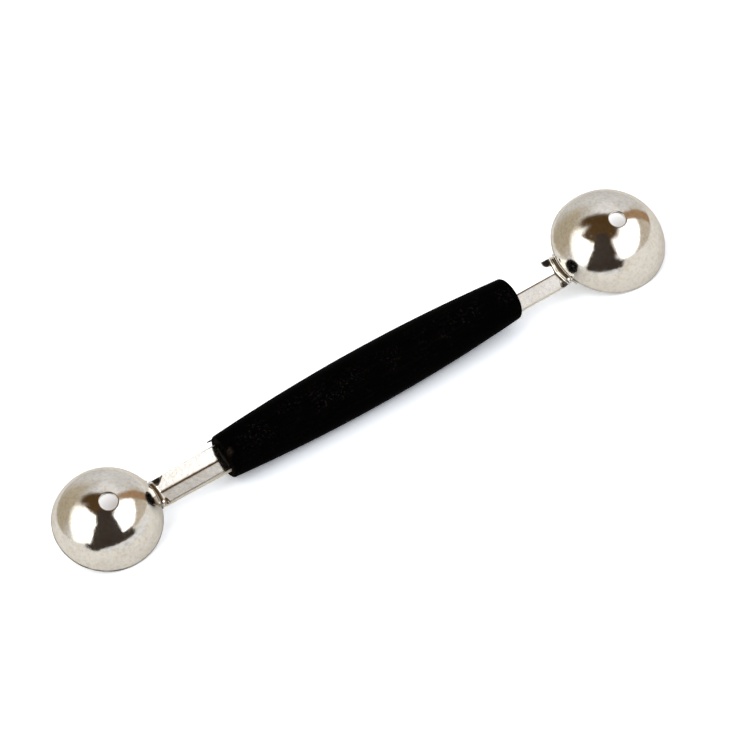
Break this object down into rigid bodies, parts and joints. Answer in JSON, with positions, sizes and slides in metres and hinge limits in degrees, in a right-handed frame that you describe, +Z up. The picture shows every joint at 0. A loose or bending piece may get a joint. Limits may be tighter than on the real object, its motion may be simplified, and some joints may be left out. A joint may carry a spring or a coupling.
{
  "type": "melon baller",
  "caption": "Double-ended melon baller: a dark turned wooden handle with a pierced steel bowl on a creased tang at each end, lying with its domes up.",
  "frame": {"origin": "on the table, below the middle of the tool's outline, with the tool lying on its belly and on both rims", "axes": "+X runs along the tool to the large bowl, +Z is up, and the domes lean about 36 degrees from +Z towards -Y"},
  "size_m": [0.1766, 0.0254, 0.0213],
  "materials": {
    "stained_wood": "satin",
    "bowl_steel": "polished",
    "tang_steel": "polished",
    "cement": "matte"
  },
  "bodies": {
    "root": {"handle": "stained_wood", "large_bowl": "bowl_steel", "small_bowl": "bowl_steel", "large_tang": "tang_steel", "small_tang": "tang_steel", "large_socket_cement": "cement", "small_socket_cement": "cement"}
  },
  "joints": []
}
